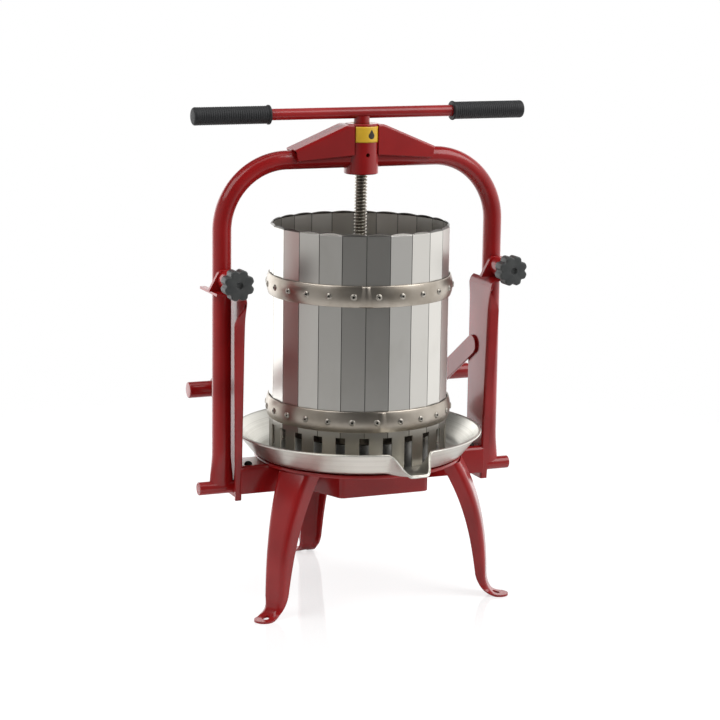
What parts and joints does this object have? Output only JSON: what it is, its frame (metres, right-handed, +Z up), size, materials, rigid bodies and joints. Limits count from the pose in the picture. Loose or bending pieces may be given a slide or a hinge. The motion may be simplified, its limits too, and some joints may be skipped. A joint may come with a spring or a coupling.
{
  "type": "fruit press",
  "caption": "Standing fruit press: a round stave cage in a spouted tray on curved legs, under a tilting tube yoke whose T-handled screw drives a press plate.",
  "frame": {"origin": "on the floor under the cage axis, at the centre of the circle of foot bolts", "axes": "+Z up along the screw, +X along the yoke and the handle, -Y towards the spout"},
  "size_m": [0.4302, 0.366, 0.6072],
  "materials": {
    "red_paint": "hammered gloss enamel, wine red",
    "cage_steel": "rolled stainless sheet, satin",
    "tray_steel": "deep drawn stainless sheet, bright satin",
    "rivet_steel": "blind rivets, bright",
    "screw_steel": "oiled cut thread",
    "black_steel": "blackened bolt heads",
    "bronze": "turned bronze",
    "grip_rubber": "moulded ribbed rubber, matt",
    "knob_plastic": "moulded black plastic, satin"
  },
  "bodies": {
    "base": {"base_disc": "red_paint", "hex_frame": "red_paint", "arm_bolts": "black_steel", "leg_front_left": "red_paint", "leg_front_right": "red_paint", "leg_rear": "red_paint", "tray": "tray_steel", "pivot_pins": "red_paint", "frame_arm_left": "red_paint", "frame_arm_right": "red_paint", "upright_left": "red_paint", "upright_right": "red_paint", "tilt_stop_left": "red_paint", "tilt_stop_right": "red_paint", "clamp_lug_left": "red_paint", "clamp_lug_right": "red_paint"},
    "yoke": {"screw_boss": "red_paint", "screw_nut": "bronze", "yoke_tube_left": "red_paint", "yoke_tube_right": "red_paint", "pivot_sleeve_left": "red_paint", "pivot_sleeve_right": "red_paint", "saddle_left": "red_paint", "saddle_right": "red_paint"},
    "press_foot": {"press_plate": "cage_steel", "plate_collar": "screw_steel"},
    "screw": {"spindle": "screw_steel", "screw_hub": "red_paint", "handle_bar": "red_paint", "grip_left": "grip_rubber", "grip_right": "grip_rubber"},
    "cage": {"stave_01": "cage_steel", "stave_02": "cage_steel", "stave_03": "cage_steel", "stave_04": "cage_steel", "stave_05": "cage_steel", "stave_06": "cage_steel", "stave_07": "cage_steel", "stave_08": "cage_steel", "stave_09": "cage_steel", "stave_10": "cage_steel", "stave_11": "cage_steel", "stave_12": "cage_steel", "stave_13": "cage_steel", "stave_14": "cage_steel", "stave_15": "cage_steel", "stave_16": "cage_steel", "stave_17": "cage_steel", "stave_18": "cage_steel", "stave_19": "cage_steel", "stave_20": "cage_steel", "stave_21": "cage_steel", "stave_22": "cage_steel", "stave_23": "cage_steel", "stave_24": "cage_steel", "hoop_upper": "cage_steel", "hoop_lower": "cage_steel", "hoop_rivets": "rivet_steel"},
    "left_knob": {"knob_left": "knob_plastic"},
    "right_knob": {"knob_right": "knob_plastic"}
  },
  "joints": [
    {"name": "yoke_tilt", "type": "hinge", "parent": "base", "child": "yoke", "pos_m": [0, 0, 0.1456], "axis": [-1, 0, 0], "range_deg": [0, 7.5]},
    {"name": "press_travel", "type": "slide", "parent": "yoke", "child": "press_foot", "axis": [0, 0, 1], "range_m": [0, 0.2861]},
    {"name": "screw_turn", "type": "hinge", "parent": "press_foot", "child": "screw", "pos_m": [0, 0, 0.4], "axis": [0, 0, 1], "range_deg": [0, 25740]},
    {"name": "cage_lift", "type": "slide", "parent": "base", "child": "cage", "axis": [0, 0, -1], "range_m": [-0.045, 0]},
    {"name": "left_knob_turn", "type": "hinge", "parent": "base", "child": "left_knob", "pos_m": [-0.1785, -0.045, 0.4027], "axis": [0, -1, 0], "continuous": true},
    {"name": "right_knob_turn", "type": "hinge", "parent": "base", "child": "right_knob", "pos_m": [0.1785, -0.045, 0.4027], "axis": [0, -1, 0], "continuous": true}
  ],
  "couplings": [
    {"joint": "press_travel", "follows": "screw_turn", "m_per_rad": 0.00063662}
  ]
}
